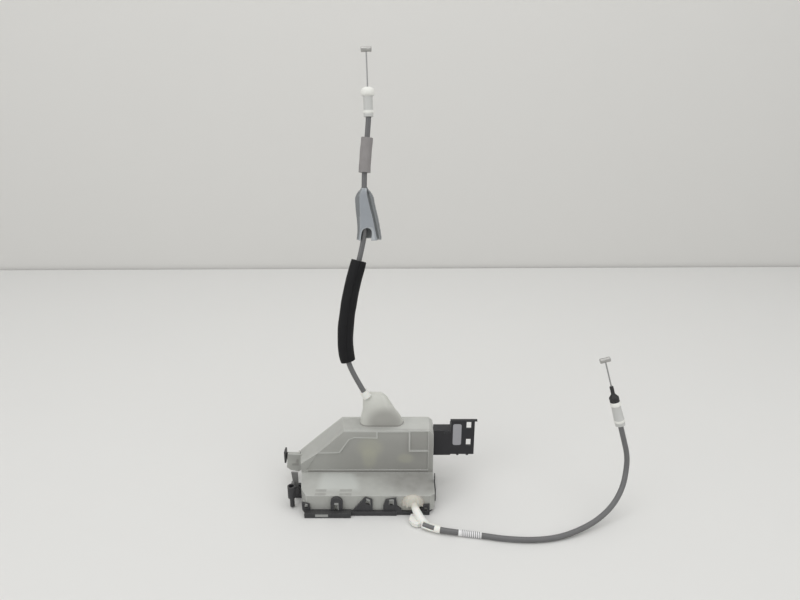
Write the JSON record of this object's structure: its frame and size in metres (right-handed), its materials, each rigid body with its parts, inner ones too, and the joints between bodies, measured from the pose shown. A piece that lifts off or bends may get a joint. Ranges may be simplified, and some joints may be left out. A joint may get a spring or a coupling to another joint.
{
  "type": "door latch actuator",
  "caption": "Vehicle side door lock with claw and pawl latch, motor-driven locking in a translucent case, wire connector and two Bowden release cables.",
  "frame": {"origin": "centre of the circle of the three fixing screws, on the underside of the steel face plate", "axes": "+Z away from the door's shut face into the door, +Y towards the striker's side, +X along the face plate towards the connector"},
  "size_m": [0.3348, 0.1621, 0.4159],
  "materials": {
    "zinc_steel": "satin zinc plate",
    "dark_steel": "dark phosphated steel",
    "motor_steel": "drawn can, satin",
    "spring_steel": "drawn wire",
    "black_plastic": "moulded, matt",
    "black_connector_plastic": "moulded, matt",
    "black_rubber_skin": "overmoulded, matt",
    "rubber": "moulded, matt",
    "milky_plastic": "translucent, satin",
    "pale_milky_plastic": "translucent, satin",
    "white_plastic": "moulded, satin",
    "cream_plastic": "moulded, satin",
    "grey_plastic": "moulded, matt",
    "blue_grey_plastic": "moulded, satin",
    "brass": "stamped",
    "sheath": "extruded, satin",
    "black_foam": "closed-cell foam, matt",
    "grey_foam": "closed-cell foam, matt",
    "black_rubber_boot": "moulded, matt",
    "wire": "twisted strand",
    "nipple_zinc": "die cast",
    "label_film": "printed film"
  },
  "bodies": {
    "root": {"face_plate": "zinc_steel", "back_plate": "zinc_steel", "fixing_bushes": "zinc_steel", "latch_housing": "black_plastic", "claw_pin": "zinc_steel", "claw_spring": "spring_steel", "pawl_pin": "zinc_steel", "pawl_spring": "spring_steel", "striker_bumper": "rubber", "outer_lever_pin": "zinc_steel", "outer_lever_spring": "spring_steel", "actuator_cover": "milky_plastic", "actuator_base": "black_plastic", "cable_hood": "pale_milky_plastic", "hood_collar": "white_plastic", "connector_shroud": "black_connector_plastic", "connector_pins": "brass", "lead_frame": "brass", "claw_switch": "black_plastic", "lock_switch": "black_plastic", "case_screws": "zinc_steel", "motor_can": "motor_steel", "motor_end_cap": "white_plastic", "gear_axle": "zinc_steel", "lock_lever_pin": "zinc_steel", "inner_lever_pin": "zinc_steel", "key_lever_pin": "zinc_steel", "outer_cable_guide": "white_plastic", "inner_cable_sheath": "sheath", "black_foam_sleeve": "black_foam", "trim_clip": "blue_grey_plastic", "grey_foam_sleeve": "grey_foam", "inner_cable_ferrule": "white_plastic", "outer_cable_sheath": "sheath", "cable_label_sleeve": "label_film", "outer_cable_ferrule": "white_plastic", "outer_cable_boot": "black_rubber_boot"},
    "claw": {"claw": "dark_steel", "claw_skin": "black_rubber_skin"},
    "pawl": {"pawl": "dark_steel"},
    "outer_lever": {"outer_release_lever": "zinc_steel"},
    "inner_lever": {"inner_release_lever": "zinc_steel"},
    "gear": {"worm_wheel": "cream_plastic"},
    "worm_shaft": {"motor_shaft": "dark_steel", "worm": "brass"},
    "lock": {"lock_lever": "cream_plastic"},
    "key": {"key_lever": "grey_plastic", "rod_socket": "black_plastic"},
    "inner_wire": {"inner_cable_core": "wire", "inner_cable_nipple": "nipple_zinc"},
    "outer_wire": {"outer_cable_core": "wire", "outer_cable_nipple": "nipple_zinc"}
  },
  "joints": [
    {"name": "claw_turn", "type": "hinge", "parent": "root", "child": "claw", "pos_m": [-0.017, -0.001, 0.0053], "axis": [0, 0, 1], "range_deg": [-65, 0]},
    {"name": "pawl_turn", "type": "hinge", "parent": "root", "child": "pawl", "pos_m": [0.008, -0.015, 0.0053], "axis": [0, 0, 1], "range_deg": [-10, 4]},
    {"name": "outer_lever_swing", "type": "hinge", "parent": "root", "child": "outer_lever", "pos_m": [0.03, -0.006, 0.0096], "axis": [0, 0, 1], "range_deg": [-25, 0]},
    {"name": "outer_cable_pull", "type": "slide", "parent": "root", "child": "outer_wire", "axis": [-0.2721, 0.175, 0.9462], "range_m": [0, 0.007]},
    {"name": "inner_lever_swing", "type": "hinge", "parent": "root", "child": "inner_lever", "pos_m": [-0.032, 0.0092, 0.034], "axis": [0, 1, 0], "range_deg": [-12, 0]},
    {"name": "inner_cable_pull", "type": "slide", "parent": "root", "child": "inner_wire", "axis": [-0.03, 0.2001, 0.9793], "range_m": [0, 0.0071]},
    {"name": "gear_turn", "type": "hinge", "parent": "root", "child": "gear", "pos_m": [0.023, 0.0173, 0.049], "axis": [0, 1, 0], "range_deg": [0, 100]},
    {"name": "worm_turn", "type": "hinge", "parent": "root", "child": "worm_shaft", "pos_m": [0.023, 0.0173, 0.0319], "axis": [1, 0, 0], "range_deg": [0, 3400]},
    {"name": "lock_lever_swing", "type": "hinge", "parent": "root", "child": "lock", "pos_m": [-0.002, 0.0217, 0.049], "axis": [0, 1, 0], "range_deg": [-25, 0]},
    {"name": "key_lever_swing", "type": "hinge", "parent": "root", "child": "key", "pos_m": [-0.0663, -0.01, 0.012], "axis": [0, 1, 0], "range_deg": [-12, 12]}
  ],
  "couplings": [
    {"joint": "outer_lever_swing", "follows": "outer_cable_pull", "rad_per_m": -62.11},
    {"joint": "inner_lever_swing", "follows": "inner_cable_pull", "rad_per_m": -29.41},
    {"joint": "worm_turn", "follows": "gear_turn", "ratio": 34},
    {"joint": "lock_lever_swing", "follows": "gear_turn", "ratio": -0.25}
  ]
}
